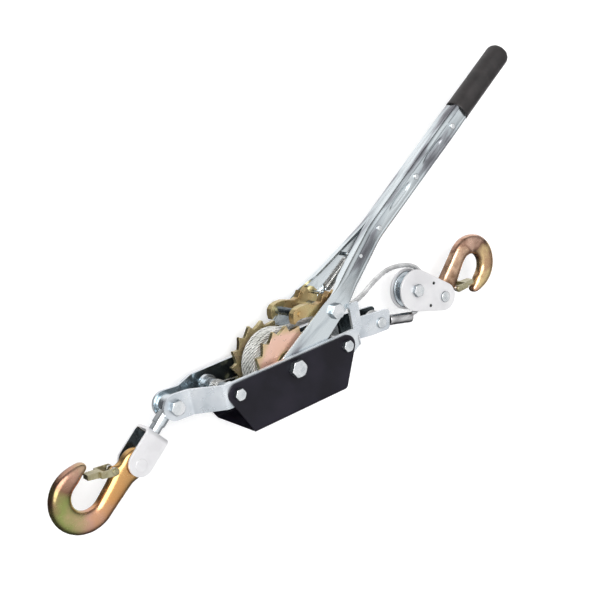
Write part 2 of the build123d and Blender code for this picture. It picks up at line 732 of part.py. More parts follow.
def hook(name, place, angle):
    """Forged slip hook: eye, shank, bowl and tip, with a narrow boss for the latch."""
    with BuildPart() as body:
        with BuildSketch(level(-HOOK_HALF, *place, angle)):
            with Locations(BOWL):
                Circle(BOWL_R)
            with Locations(SEAT):
                Circle(SEAT_R, mode=Mode.SUBTRACT)
            with BuildLine():
                Polyline(
                    (54.9, 14.5), (30, -3.2), (15, -60), (66, -60), (66.5, -SEAT_R), (60, -5), close=True
                )
            make_face(mode=Mode.SUBTRACT)
            with BuildLine():
                Polyline((56.5, -37.5), (67.0, -37.6), (67.5, -SEAT_R), (59.6, -25.3), close=True)
            make_face()
            with Locations(TIP):
                Circle(TIP_ROUND)
            with BuildLine():
                Polyline(
                    (0, 0), (9, 15.6), (47.6, 34.3), (60, 24), (56.7, 14.2), (34.4, -0.4),
                    (22, -9.4), (15, -9.9), close=True,
                )
            make_face()
            Circle(EYE_R)
            Circle(HOOK_PIN_R + GAP, mode=Mode.SUBTRACT)
            with Locations(SEAT):
                Circle(SEAT_R, mode=Mode.SUBTRACT)
        extrude(amount=2 * HOOK_HALF)
        with BuildSketch(level(-3.5, *place, angle)):
            with Locations(LATCH_PIVOT):
                Circle(5.5)
        extrude(amount=7.0)
        clear_zone(place, angle)
        with BuildSketch(level(-3.5, *place, angle)):
            with Locations(LATCH_PIVOT):
                Circle(LATCH_RIVET_R + GAP)
        extrude(amount=7.0, mode=Mode.SUBTRACT)
    save(body, name)


def clear_zone(place, angle):
    """Cut room beside the boss for the latch spring and the latch's cheeks."""
    for low in (3.5, -12.0):
        with BuildSketch(level(low, *place, angle)) as zone:
            with Locations(LATCH_PIVOT):
                Circle(6.6)
        extrude(zone.sketch, amount=8.5, mode=Mode.SUBTRACT)


def latch_set(prefix, place, angle):
    """Sprung safety latch, its rivet and its coil spring."""
    swing = degrees(atan2(LATCH_END[1] - LATCH_PIVOT[1], LATCH_END[0] - LATCH_PIVOT[0]))
    reach = hypot(LATCH_END[0] - LATCH_PIVOT[0], LATCH_END[1] - LATCH_PIVOT[1])
    turn = radians(angle)
    x = place[0] + LATCH_PIVOT[0] * cos(turn) - LATCH_PIVOT[1] * sin(turn)
    y = place[1] + LATCH_PIVOT[0] * sin(turn) + LATCH_PIVOT[1] * cos(turn)
    heading = angle + swing
    with BuildPart() as latch:
        with BuildSketch(level(-10.2, x, y, heading)):
            with BuildLine():
                Polyline((0, -4.6), (reach, -3.0), (reach, 3.0), (0, 4.6), close=True)
            make_face()
            Circle(4.6)
        extrude(amount=20.4)
        with BuildSketch(level(-8.5, x, y, heading)):
            with Locations((1, 0)):
                Rectangle(26, 24)
        extrude(amount=17, mode=Mode.SUBTRACT)
        for low in (-12.0, 5.8):
            with BuildSketch(level(low, x, y, heading)) as trim:
                with Locations((reach / 2 + 10.5, 0)):
                    Rectangle(reach - 13, 20)
            extrude(trim.sketch, amount=6.2, mode=Mode.SUBTRACT)
        bar(x, y, -12, 12, LATCH_RIVET_R + GAP, Mode.SUBTRACT)
    save(latch, f"{prefix}_latch")
    with BuildPart() as rivet:
        bar(x, y, -10.3, 10.3, LATCH_RIVET_R)
        for low, high in ((10.3, 11.4), (-11.4, -10.3)):
            bar(x, y, low, high, 3.6)
    save(rivet, f"{prefix}_latch_rivet")
    with BuildPart() as spring:
        for low, high in ((3.8, 8.0), (-8.0, -3.8)):
            bar(x, y, low, high, 4.3)
            bar(x, y, low, high, 3.0, Mode.SUBTRACT)
    save(spring, f"{prefix}_latch_spring")


# ---------------------------------------------------------------- pulley block


def pulley_block():
    """Two cheeks round a grooved sheave, with its bolt, spacer rivets and hook pin."""
    span = (BLOCK_PIN[0] - SHEAVE[0], BLOCK_PIN[1] - SHEAVE[1])
    angle = degrees(atan2(span[1], span[0]))
    reach = hypot(*span)
    spacers = ((26.5, 14.0), (29.0, -15.5))
    for name, low in (("block_cheek_near", CHEEK_IN), ("block_cheek_far", -CHEEK_OUT)):
        with BuildPart() as cheek:
            with BuildSketch(level(low, *SHEAVE, angle)):
                Circle(CHEEK_R)
                with Locations((reach, 0)):
                    Circle(CHEEK_PIN_R)
                make_hull()
                Circle(SHEAVE_BOLT_R + GAP, mode=Mode.SUBTRACT)
                with Locations((reach, 0)):
                    Circle(HOOK_PIN_R + GAP, mode=Mode.SUBTRACT)
                with Locations(*spacers):
                    Circle(2.0 + GAP, mode=Mode.SUBTRACT)
            extrude(amount=CHEEK_OUT - CHEEK_IN)
            outer = Axis.Z if low > 0 else -Axis.Z
            fillet(cheek.faces().sort_by(outer)[-1].outer_wire().edges(), 0.8)
        save(cheek, name)
    with BuildPart() as sheave:
        with BuildSketch(upright(*SHEAVE)):
            with BuildLine():
                wall = ROPE_D / 2 + 0.25
                Polyline(
                    (8.0, -SHEAVE_HALF), (SHEAVE_R, -SHEAVE_HALF), (SHEAVE_R, -SHEAVE_HALF + 2.0),
                    (GROOVE_R + wall, -wall),
                )
                ThreePointArc((GROOVE_R + wall, -wall), (GROOVE_R, 0), (GROOVE_R + wall, wall))
                Polyline(
                    (GROOVE_R + wall, wall), (SHEAVE_R, SHEAVE_HALF - 2.0), (SHEAVE_R, SHEAVE_HALF),
                    (8.0, SHEAVE_HALF), (8.0, -SHEAVE_HALF),
                )
            make_face()
        revolve(axis=axis_at(*SHEAVE))
    save(sheave, "sheave")
    with BuildPart() as bush:
        bar(*SHEAVE, -8.3, 8.3, 8.0 - GAP)
        bar(*SHEAVE, -8.3, 8.3, SHEAVE_BOLT_R + GAP, Mode.SUBTRACT)
    save(bush, "sheave_bush")
    with BuildPart() as bolt:
        hexagon(*SHEAVE, CHEEK_OUT, 5.6, 15)
        bar(*SHEAVE, -CHEEK_OUT - 8.5, CHEEK_OUT, SHEAVE_BOLT_R)
    save(bolt, "sheave_bolt")
    with BuildPart() as nut:
        hexagon(*SHEAVE, -CHEEK_OUT, -7.0, 15)
        bar(*SHEAVE, -CHEEK_OUT - 7, -CHEEK_OUT, SHEAVE_BOLT_R + GAP, Mode.SUBTRACT)
    save(nut, "sheave_nut")
    with BuildPart() as rivets:
        for along, across in spacers:
            x = SHEAVE[0] + along * cos(radians(angle)) - across * sin(radians(angle))
            y = SHEAVE[1] + along * sin(radians(angle)) + across * cos(radians(angle))
            bar(x, y, -CHEEK_OUT - 0.6, CHEEK_OUT + 0.6, 2.0)
            bar(x, y, -CHEEK_IN, CHEEK_IN, 2.6)
    save(rivets, "cheek_rivets")
    with BuildPart() as pin:
        bar(*BLOCK_PIN, CHEEK_OUT, CHEEK_OUT + 2.4, HOOK_PIN_R + 1.3)
        fillet(pin.edges().group_by(Axis.Z)[-1], 0.9)
        bar(*BLOCK_PIN, -CHEEK_OUT - 2, CHEEK_OUT, HOOK_PIN_R)
        bar(*BLOCK_PIN, -CHEEK_OUT - 2, -CHEEK_OUT, HOOK_PIN_R + 1.3)
    save(pin, "block_pin")


def main():
    """Build and write every piece."""
    os.makedirs("parts", exist_ok=True)
    side_plate("side_plate_near", 1)
    side_plate("side_plate_far", -1)
    guard()
    frame_fasteners()
    rope_pieces()
    drum()
    handle()
    drive_pawl()
    stop_pawl()
    link_set()
    hook("front_hook", BRACKET_PIN, FRONT_HOOK_ANGLE)
    latch_set("front", BRACKET_PIN, FRONT_HOOK_ANGLE)
    pulley_block()
    hook("rear_hook", BLOCK_PIN, REAR_HOOK_ANGLE)
    latch_set("rear", BLOCK_PIN, REAR_HOOK_ANGLE)


main()
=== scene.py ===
import bmesh
import bpy
import json
from math import atan2, cos, hypot, pi, radians, sin, sqrt
from mathutils import Matrix, Vector


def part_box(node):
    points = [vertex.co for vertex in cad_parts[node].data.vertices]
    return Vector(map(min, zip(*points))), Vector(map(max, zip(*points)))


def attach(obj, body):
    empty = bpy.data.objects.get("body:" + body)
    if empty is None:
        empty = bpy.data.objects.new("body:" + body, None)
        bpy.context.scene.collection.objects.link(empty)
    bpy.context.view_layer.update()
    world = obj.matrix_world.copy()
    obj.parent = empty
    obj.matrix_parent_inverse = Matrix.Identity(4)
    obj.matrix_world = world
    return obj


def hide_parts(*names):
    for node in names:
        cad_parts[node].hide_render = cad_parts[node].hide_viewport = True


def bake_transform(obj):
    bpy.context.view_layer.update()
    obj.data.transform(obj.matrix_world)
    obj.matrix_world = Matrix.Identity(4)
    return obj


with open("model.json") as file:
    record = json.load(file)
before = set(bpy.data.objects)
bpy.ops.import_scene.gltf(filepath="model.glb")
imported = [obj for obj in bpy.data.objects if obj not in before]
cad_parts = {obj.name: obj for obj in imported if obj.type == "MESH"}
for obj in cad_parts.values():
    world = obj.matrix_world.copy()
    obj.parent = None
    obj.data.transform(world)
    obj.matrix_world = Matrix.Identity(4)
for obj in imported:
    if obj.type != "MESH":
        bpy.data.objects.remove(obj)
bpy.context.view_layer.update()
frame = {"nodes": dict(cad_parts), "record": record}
nodes = frame["nodes"]
BODY = {
    node: body for body, names in frame["record"]["behaviour"]["bodies"].items() for node in names
}

# The axle is in metres in the row frame. Other places are in mm from it, with heights from the
# tool's middle plane.
MM = 0.001
UP = Vector((0, 0, 1))
AXLE = Vector((-0.0737, -0.1025, 0.054))
HANDLE_ANGLE = radians(32.2)
HANDLE_AXIS = Vector((cos(HANDLE_ANGLE), sin(HANDLE_ANGLE), 0))
PAWL_PIVOT = (75.7, 44.2)
PAWL_LIFT = radians(3.3)
SPRING_PIN = (85.0, 59.5)
SPRING_HIGH = (138.0, 92.5)
FRONT_BOLT = (-83.0, 0.0)
BRACKET_PIN = (-207.0, -41.0)
FRONT_HOOK_ANGLE = radians(-170.3)
BLOCK_PIN = (271.5, -6.2)
REAR_HOOK_ANGLE = radians(19.2)
SHEAVE = (226.0, 17.5)
SHEAVE_R = 24.3
HOOK_SEAT = 67.0  # from a hook's pin to the middle of its seat
STOP_DROP = 8.0  # degrees that the stop claws are turned down at rest
ANCHOR = (154.0, -1.0)
FERRULE_START = (180.5, -9.0)
FERRULE_END = (217.5, -17.6)
ROPE_D = 6.4
ROPE_ROUTE = [
    (25.0, 36.6), (58.0, 33.7), (93.0, 31.6), (125.0, 30.9), (145.5, 35.8), (165.0, 47.0),
    (190.0, 55.8), (215.5, 54.6), (237.5, 46.5), (247.0, 34.0), (249.6, 19.0), (245.8, 4.5),
    (237.5, -7.5), (227.0, -13.9), (218.2, -14.4),
]


def at(x, y, height=0.0):
    """A place given from the drum axle, in metres in the row frame."""
    return AXLE + Vector((x, y, height)) * MM


def polar(radius, angle):
    """The x and y of a point at a radius and an angle."""
    return radius * cos(angle), radius * sin(angle)


# ---------------------------------------------------------------- materials


VALUE_MATH, VECTOR_MATH = "ShaderNodeMath", "ShaderNodeVectorMath"


def worked(tree, kind, operation, *values, result="Value"):
    """An output of a new math node, with each value either linked or set as a constant."""
    node = tree.nodes.new(kind)
    node.operation = operation
    for socket, value in zip(node.inputs, values):
        if isinstance(value, bpy.types.NodeSocket):
            tree.links.new(value, socket)
        else:
            socket.default_value = value
    return node.outputs[result]


def colour_ramp(tree, source, colours):
    """The colour that a value picks from a list of (place, colour) stops."""
    ramp = tree.nodes.new("ShaderNodeValToRGB")
    stops = ramp.color_ramp.elements
    while len(stops) < len(colours):
        stops.new(0.5)
    for stop, (place, colour) in zip(stops, colours):
        stop.position = place
        stop.color = (*colour, 1.0)
    tree.links.new(source, ramp.inputs["Fac"])
    return ramp.outputs["Color"]


def field_value(tree, coord, kind, centre, axis, wander, low, high):
    """A value that runs from low to high along a line, outwards from a centre or round it."""
    away = worked(tree, VECTOR_MATH, "SUBTRACT", coord.outputs["Object"], centre, result="Vector")

    def dot(direction):
        return worked(tree, VECTOR_MATH, "DOT_PRODUCT", away, direction)

    spread = tree.nodes.new("ShaderNodeMapRange")
    spread.inputs["To Min"].default_value = low - wander / 2
    spread.inputs["To Max"].default_value = high - wander / 2
    if kind == "along":
        source = dot(axis / axis.length_squared)
    elif kind == "outwards":
        level = (1 / axis.length, 1 / axis.length, 0)
        flat = worked(tree, VECTOR_MATH, "MULTIPLY", away, level, result="Vector")
        source = worked(tree, VECTOR_MATH, "LENGTH", flat)
    else:
        source = worked(tree, VALUE_MATH, "ARCTAN2", dot(Vector((-axis.y, axis.x, 0))), dot(axis))
        spread.inputs["From Min"].default_value = -pi
        spread.inputs["From Max"].default_value = pi
    tree.links.new(source, spread.inputs["Value"])
    return spread.outputs["Result"]


def material(name, colours, scale, metallic, rough, spread, bump=0.0, fine=900.0, detail=3.0,
             distortion=0.0, stretch=(1, 1, 1), turn=0.0, specular=None, field=None, glow=0.0):
    """Noise picks the colour from a ramp, finer noise varies the gloss and lifts the surface.

    The roughness runs from rough - spread to rough + spread. A field adds a slow change to the noise,
    which wanders round it by the field's fourth value.
    """
    mat = bpy.data.materials.new(name)
    mat.use_nodes = True
    tree = mat.node_tree
    shader = tree.nodes["Principled BSDF"]
    shader.inputs["Metallic"].default_value = metallic
    if specular is not None:
        shader.inputs["Specular IOR Level"].default_value = specular
    if glow:
        shader.inputs["Emission Color"].default_value = (1, 1, 1, 1)
        shader.inputs["Emission Strength"].default_value = glow
    coord = tree.nodes.new("ShaderNodeTexCoord")
    mapping = tree.nodes.new("ShaderNodeMapping")
    mapping.vector_type = "TEXTURE"
    mapping.inputs["Rotation"].default_value = (0, 0, turn)
    mapping.inputs["Scale"].default_value = stretch
    tree.links.new(coord.outputs["Object"], mapping.inputs["Vector"])

    def noise(size, octaves, bend=0.0):
        node = tree.nodes.new("ShaderNodeTexNoise")
        node.inputs["Scale"].default_value = size
        node.inputs["Detail"].default_value = octaves
        node.inputs["Distortion"].default_value = bend
        tree.links.new(mapping.outputs["Vector"], node.inputs["Vector"])
        return node.outputs["Fac"]

    picked = noise(scale, detail, distortion)
    if field:
        wander = field[3]
        picked = worked(tree, VALUE_MATH, "MULTIPLY_ADD", picked, wander, field_value(tree, coord, *field))
    tree.links.new(colour_ramp(tree, picked, colours), shader.inputs["Base Color"])
    gloss = tree.nodes.new("ShaderNodeMapRange")
    gloss.inputs["From Min"].default_value = 0.3
    gloss.inputs["From Max"].default_value = 0.7
    gloss.inputs["To Min"].default_value = max(rough - spread, 0.05)
    gloss.inputs["To Max"].default_value = rough + spread
    tree.links.new(noise(scale * 3.7, 4.0), gloss.inputs["Value"])
    tree.links.new(gloss.outputs["Result"], shader.inputs["Roughness"])
    if bump:
        lift = tree.nodes.new("ShaderNodeBump")
        lift.inputs["Strength"].default_value = bump
        lift.inputs["Distance"].default_value = 0.0002
        tree.links.new(noise(fine, 2.0), lift.inputs["Height"])
        tree.links.new(lift.outputs["Normal"], shader.inputs["Normal"])
    return mat


ZINC = material(
    "bright_zinc", [(0.32, (0.58, 0.65, 0.70)), (0.5, (0.74, 0.80, 0.84)), (0.68, (0.88, 0.91, 0.93))],
    scale=26, metallic=0.92, rough=0.20, spread=0.06, bump=0.08, fine=500, detail=4, distortion=0.4,
)
PLATE_ZINC = material(
    "plate_zinc", [(0.32, (0.60, 0.65, 0.69)), (0.5, (0.76, 0.80, 0.84)), (0.68, (0.88, 0.91, 0.93))],
    scale=30, metallic=0.72, rough=0.25, spread=0.04, bump=0.03, fine=520, detail=4, distortion=0.3,
)
CHEEK_ZINC = material(
    "cheek_zinc", [(0.34, (0.76, 0.75, 0.76)), (0.5, (0.83, 0.82, 0.83)), (0.66, (0.88, 0.87, 0.87))],
    scale=34, metallic=0.4, rough=0.34, spread=0.05, bump=0.08, fine=700, detail=4,
)
BOLT_ZINC = material(
    "bolt_zinc", [(0.35, (0.70, 0.73, 0.75)), (0.5, (0.82, 0.85, 0.86)), (0.65, (0.90, 0.91, 0.92))],
    scale=90, metallic=0.8, rough=0.20, spread=0.06, bump=0.1, fine=1100, detail=4,
)
# Painted reflection: noise stretched along the handle picks from near black to near white, as the streaks of
# bright metal's reflections, and a painted shade darkens the handle further from the axle.
HANDLE_ZINC = material(
    "handle_zinc_painted_reflection",
    [(0.32, (0.19, 0.19, 0.21)), (0.42, (0.40, 0.41, 0.44)), (0.50, (0.70, 0.76, 0.79)),
     (0.60, (0.87, 0.93, 0.95))],
    scale=40, metallic=0.96, rough=0.19, spread=0.05, bump=0.05, fine=500,
    detail=4, distortion=0.3, stretch=(5.0, 1.0, 1.0), turn=HANDLE_ANGLE,
    field=("along", AXLE + HANDLE_AXIS * 0.095, HANDLE_AXIS * 0.11, 1.25, 0.62, 0.50),
)
DARK_ZINC = material(
    "shadowed_zinc", [(0.36, (0.035, 0.045, 0.048)), (0.5, (0.09, 0.11, 0.12)), (0.66, (0.26, 0.31, 0.34))],
    scale=30, metallic=0.9, rough=0.26, spread=0.06, bump=0.05, fine=600, detail=4, distortion=0.5,
)
# Painted shade and painted reflection for the far plate's inner face: near black into silver, lighter at the
# front end near x = -108 mm and darker further back.
INNER_ZINC = material(
    "inner_zinc_painted_shade",
    [(0.36, (0.035, 0.045, 0.048)), (0.5, (0.09, 0.11, 0.12)), (0.62, (0.30, 0.37, 0.41)),
     (0.78, (0.60, 0.68, 0.73))],
    scale=26, metallic=0.9, rough=0.24, spread=0.05, bump=0.05, fine=600, detail=4, distortion=0.5,
    field=("along", at(-108.0, 0.0), Vector((0.05, 0, 0)), 0.4, 0.68, 0.42),
)
# Painted shade and dark reflection for the sides of bolts and nuts and for the sheave's rims: a darker copy
# of the plated zinc.
SIDE_PAINTED_SHADE = material(
    "bolt_side_painted_shade", [(0.35, (0.12, 0.14, 0.155)), (0.5, (0.24, 0.27, 0.29)), (0.65, (0.42, 0.46, 0.48))],
    scale=120, metallic=0.9, rough=0.28, spread=0.06, bump=0.08, fine=900, detail=4,
)


HOOK_SWEEP_START = radians(35)


def hook_field(place, angle, wander):
    """Sweep round a hook's bowl, from the tip to the eye."""
    dx, dy = polar(HOOK_SEAT, angle)
    axis = Vector((*polar(1, angle + HOOK_SWEEP_START), 0))
    return ("round", at(place[0] + dx, place[1] + dy), axis, wander, 0.0, 1.0)


# The colours round each hook's bowl mix the yellow zinc plating's own pink, green and orange tints with
# painted shade, the dark browns, and painted highlights, the pale golds.
FRONT_GOLD = material(
    "yellow_zinc_front_hook",
    [(0.05, (0.66, 0.55, 0.32)), (0.18, (0.58, 0.33, 0.24)), (0.29, (0.30, 0.16, 0.10)),
     (0.40, (0.36, 0.40, 0.13)), (0.50, (0.58, 0.44, 0.23)), (0.60, (0.74, 0.42, 0.30)),
     (0.76, (0.80, 0.40, 0.15)), (0.92, (0.66, 0.40, 0.16))],
    scale=30, metallic=0.93, rough=0.23, spread=0.07, bump=0.35, fine=420, detail=7, distortion=0.3,
    field=hook_field(BRACKET_PIN, FRONT_HOOK_ANGLE, 0.42),
)
REAR_GOLD = material(
    "yellow_zinc_rear_hook",
    [(0.05, (0.82, 0.50, 0.32)), (0.16, (0.88, 0.66, 0.33)), (0.27, (0.56, 0.34, 0.20)),
     (0.36, (0.86, 0.62, 0.32)), (0.46, (0.28, 0.15, 0.10)), (0.56, (0.86, 0.56, 0.42)),
     (0.66, (0.40, 0.22, 0.15)), (0.76, (0.84, 0.56, 0.38)), (0.88, (0.30, 0.17, 0.10))],
    scale=36, metallic=0.93, rough=0.24, spread=0.07, bump=0.35, fine=420, detail=7, distortion=0.3,
    field=hook_field(BLOCK_PIN, REAR_HOOK_ANGLE, 0.62),
)
CLAW_GOLD = material(
    "yellow_zinc_claw",
    [(0.32, (0.34, 0.20, 0.10)), (0.46, (0.58, 0.41, 0.19)), (0.58, (0.66, 0.52, 0.26)),
     (0.7, (0.50, 0.44, 0.22))],
    scale=34, metallic=0.85, rough=0.30, spread=0.08, bump=0.16, fine=520, detail=4, distortion=0.6,
)
WHEEL_EDGE = material(
    "yellow_zinc_tooth",
    [(0.32, (0.26, 0.19, 0.10)), (0.48, (0.50, 0.42, 0.22)), (0.6, (0.68, 0.60, 0.36)),
     (0.72, (0.46, 0.28, 0.18))],
    scale=60, metallic=0.9, rough=0.28, spread=0.08, bump=0.16, fine=600, detail=4, distortion=0.5,
)
WHEEL_OLIVE = material(
    "yellow_zinc_olive", [(0.34, (0.34, 0.26, 0.13)), (0.5, (0.56, 0.47, 0.25)), (0.66, (0.66, 0.52, 0.34))],
    scale=40, metallic=0.85, rough=0.30, spread=0.06, bump=0.12, fine=700, detail=4, distortion=0.5,
)
WHEEL_FACE = material(
    "yellow_zinc_pink",
    [(0.28, (0.86, 0.66, 0.46)), (0.42, (0.92, 0.58, 0.44)), (0.72, (0.92, 0.60, 0.48)),
     (0.82, (0.74, 0.54, 0.32)), (0.94, (0.40, 0.33, 0.16))],
    scale=40, metallic=0.65, rough=0.32, spread=0.06, bump=0.1, fine=700, detail=4, distortion=0.5,
    field=("outwards", AXLE, Vector((0.055, 0, 0)), 0.3, 0.0, 1.0),
)
BLACK = material(
    "black_guard",
    [(0.36, (0.006, 0.005, 0.009)), (0.5, (0.009, 0.008, 0.014)), (0.64, (0.013, 0.011, 0.019))],
    scale=24, metallic=0.0, rough=0.36, spread=0.04, bump=0.2, fine=1500, detail=4, specular=0.28,
)
RUBBER = material(
    "black_grip",
    [(0.34, (0.018, 0.016, 0.016)), (0.5, (0.024, 0.021, 0.021)), (0.66, (0.031, 0.027, 0.027))],
    scale=60, metallic=0.0, rough=0.46, spread=0.06, bump=0.3, fine=1100, detail=5, specular=0.42,
)
ROPE = material(
    "wire_rope", [(0.32, (0.50, 0.50, 0.50)), (0.5, (0.64, 0.64, 0.64)), (0.66, (0.74, 0.74, 0.74))],
    scale=90, metallic=0.55, rough=0.38, spread=0.05, bump=0.15, fine=2200, detail=3,
)
COIL_ROPE = material(
    "wound_rope", [(0.32, (0.48, 0.48, 0.44)), (0.5, (0.66, 0.66, 0.63)), (0.66, (0.76, 0.76, 0.73))],
    scale=60, metallic=0.45, rough=0.42, spread=0.05, bump=0.15, fine=2200, detail=3,
)
ALUMINIUM = material(
    "aluminium_ferrule", [(0.34, (0.52, 0.51, 0.51)), (0.5, (0.70, 0.69, 0.69)), (0.64, (0.84, 0.83, 0.83))],
    scale=90, metallic=1.0, rough=0.18, spread=0.06, bump=0.15, fine=500, detail=4, stretch=(1.7, 0.33, 0.33),
)
SPRING = material(
    "spring_steel", [(0.34, (0.46, 0.46, 0.44)), (0.5, (0.66, 0.66, 0.64)), (0.66, (0.78, 0.78, 0.76))],
    scale=200, metallic=1.0, rough=0.26, spread=0.06, bump=0.2, fine=1800,
)
LATCH = material(
    "latch_olive", [(0.34, (0.28, 0.25, 0.14)), (0.5, (0.46, 0.41, 0.25)), (0.66, (0.60, 0.55, 0.37))],
    scale=60, metallic=0.9, rough=0.30, spread=0.06, bump=0.15, fine=900, detail=4,
)
BRONZE = material(
    "bush_bronze", [(0.34, (0.38, 0.26, 0.13)), (0.5, (0.52, 0.38, 0.20)), (0.66, (0.60, 0.46, 0.27))],
    scale=150, metallic=1.0, rough=0.34, spread=0.06, bump=0.2, fine=1200,
)
# Near-black painted shade for hollows: the rope core seen between the strands and the ferrule's mouths. The
# cheek rivets are drawn in it as well.
DARK = material(
    "dark_recess_painted_shade", [(0.36, (0.010, 0.010, 0.011)), (0.64, (0.028, 0.027, 0.027))],
    scale=150, metallic=0.2, rough=0.6, spread=0.08, bump=0.2,
)


# ---------------------------------------------------------------- pieces


def piece(name, mesh, body, mats, stands_for):
    """Link a finished mesh, ride it on its body and hide the CAD nodes it stands for."""
    obj = bpy.data.objects.new(name, mesh)
    bpy.context.scene.collection.objects.link(obj)
    # Clearing the materials clears the faces' marks too, so they are put back after it.
    marks = [polygon.material_index for polygon in mesh.polygons]
    mesh.materials.clear()
    for mat in mats:
        mesh.materials.append(mat)
    mesh.polygons.foreach_set("material_index", marks)
    if body:
        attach(obj, body)
    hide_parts(*stands_for)
    return obj


def soften(obj, width, segments, angle):
    """Small rounded edges, width in mm, with even shading on the flats."""
    bevel = obj.modifiers.new("edges", "BEVEL")
    bevel.width = width * MM
    bevel.segments = segments
    bevel.limit_method = "ANGLE"
    bevel.angle_limit = radians(angle)
    bevel.miter_outer = "MITER_ARC"
    even = obj.modifiers.new("shading", "WEIGHTED_NORMAL")
    even.keep_sharp = False
    even.weight = 90


def clean_mesh(node):
    """A copy of a CAD node's mesh with its flat areas joined up."""
    weld, flat = 0.003 * MM, radians(0.6)
    mesh = nodes[node].data.copy()
    bm = bmesh.new()
    bm.from_mesh(mesh)
    bmesh.ops.remove_doubles(bm, verts=bm.verts, dist=weld)
    bmesh.ops.dissolve_limit(bm, angle_limit=flat, verts=bm.verts, edges=bm.edges)
    for face in bm.faces:
        face.smooth = True
        face.material_index = 0
    bm.to_mesh(mesh)
    bm.free()
    return mesh


def plain_normals(mesh):
    """Let go of the normals that came with the CAD mesh."""
    if "custom_normal" in mesh.attributes:
        mesh.attributes.remove(mesh.attributes["custom_normal"])


def level_face(polygon):
    """The flat faces of a plate that lies in the tool's plane."""
    return abs(polygon.normal.z) > 0.95


def inner_face(polygon):
    """The upper face of a plate on the far side, which looks into the tool and takes a painted shade."""
    return polygon.normal.z > 0.6 and polygon.center.z < AXLE.z


def refine(node, mat, width=0.4, segments=2, angle=30, face_mat=None, where=level_face):
    """A CAD node with broken edges and its own finish; face_mat goes on the faces that where picks."""
    mesh = clean_mesh(node)
    mesh.name = node + "_look"
    plain_normals(mesh)
    obj = piece(node + "_look", mesh, BODY[node], [mat, face_mat] if face_mat else [mat], (node,))
    if face_mat:
        for polygon in mesh.polygons:
            polygon.material_index = int(where(polygon))
    soften(obj, width, segments, angle)


def side_face(polygon):
    """The faces that look sideways, such as a bolt head's flats."""
    return abs(polygon.normal.z) < 0.5


def bolt(node, width=0.4):
    """A plated fastener whose sides are painted darker than its bright end faces, as painted shade and dark
    reflection.
    """
    refine(node, BOLT_ZINC, width, face_mat=SIDE_PAINTED_SHADE, where=side_face)


def frames(points):
    """Two directions across the path at each point, carried along without twist."""
    result = []
    side = None
    for index in range(len(points)):
        before = points[max(index - 1, 0)]
        after = points[min(index + 1, len(points) - 1)]
        along = (after - before).normalized()
        if side is None:
            side = along.orthogonal().normalized() if abs(along.z) > 0.9 else along.cross(UP)
        side = (side - along * side.dot(along)).normalized()
        result.append((side.copy(), along.cross(side)))
    return result


def join_rings(bm, rings):
    """Smooth faces from each ring of vertices to the next, as a list for each band."""
    sides = len(rings[0])
    bands = []
    for low, high in zip(rings, rings[1:]):
        band = []
        for k in range(sides):
            after = (k + 1) % sides
            band.append(bm.faces.new((low[k], low[after], high[after], high[k])))
            band[-1].smooth = True
        bands.append(band)
    return bands


def close_ends(bm, rings):
    """A flat face over each end of a row of rings."""
    return bm.faces.new(list(reversed(rings[0]))), bm.faces.new(rings[-1])


def add_tube(bm, points, radius, sides):
    """A round tube with closed ends along the points."""
    rings = []
    for here, (across, over) in zip(points, frames(points)):
        turns = [2 * pi * k / sides for k in range(sides)]
        rings.append([
            bm.verts.new(here + (across * cos(turn) + over * sin(turn)) * radius) for turn in turns
        ])
    join_rings(bm, rings)
    close_ends(bm, rings)


def add_strands(bm, points, count=6, pitch=40.0, gap=1.04):
    """Laid strands round a core, along the points; the core takes the second material.

    The strands go once round in each pitch, in mm, and gap is a strand's radius against a sixth of
    the rope's width.
    """
    strand = ROPE_D * MM / 6 * gap
    reach = ROPE_D * MM / 2 - strand
    run, travelled = 0.0, [0.0]
    for before, here in zip(points, points[1:]):
        run += (here - before).length
        travelled.append(run)
    across = frames(points)
    for number in range(count):
        line = []
        for here, (one, two), gone in zip(points, across, travelled):
            turn = 2 * pi * (gone / (pitch * MM) + number / count)
            line.append(here + (one * cos(turn) + two * sin(turn)) * reach)
        add_tube(bm, line, strand, 7)
    # The core shows only in the gaps between the strands, and its near black there is painted shade.
    made = len(bm.faces)
    add_tube(bm, points, reach, 8)
    for face in list(bm.faces)[made:]:
        face.material_index = 1


def finish_mesh(bm, name):
    """A mesh from the bmesh, with its normals facing outwards."""
    mesh = bpy.data.meshes.new(name)
    bmesh.ops.recalc_face_normals(bm, faces=bm.faces)
    bm.to_mesh(mesh)
    bm.free()
    return mesh


def route_line(name, places, step=1.6 * MM):
    """Evenly spaced points read from one smooth spline whose control points are the places."""
    curve = bpy.data.curves.new(name, "CURVE")
    curve.dimensions = "3D"
    curve.resolution_u = 24
    spline = curve.splines.new("NURBS")
    spline.points.add(len(places) - 1)
    for point, place in zip(spline.points, places):
        point.co = (*place, 1.0)
    spline.order_u = 3
    spline.use_endpoint_u = True
    holder = bpy.data.objects.new(name, curve)
    bpy.context.scene.collection.objects.link(holder)
    mesh = bpy.data.meshes.new_from_object(holder)
    line = [vertex.co.copy() for vertex in mesh.vertices]
    bpy.data.objects.remove(holder)
    bpy.data.curves.remove(curve)
    bpy.data.meshes.remove(mesh)
    even, left = [line[0]], step
    for before, here in zip(line, line[1:]):
        run = (here - before).length
        while run > left:
            before = before + (here - before) * (left / run)
            even.append(before.copy())
            run -= left
            left = step
        left -= run
    if (even[-1] - line[-1]).length > step * 0.3:
        even.append(line[-1])
    return even


# ---------------------------------------------------------------- frame


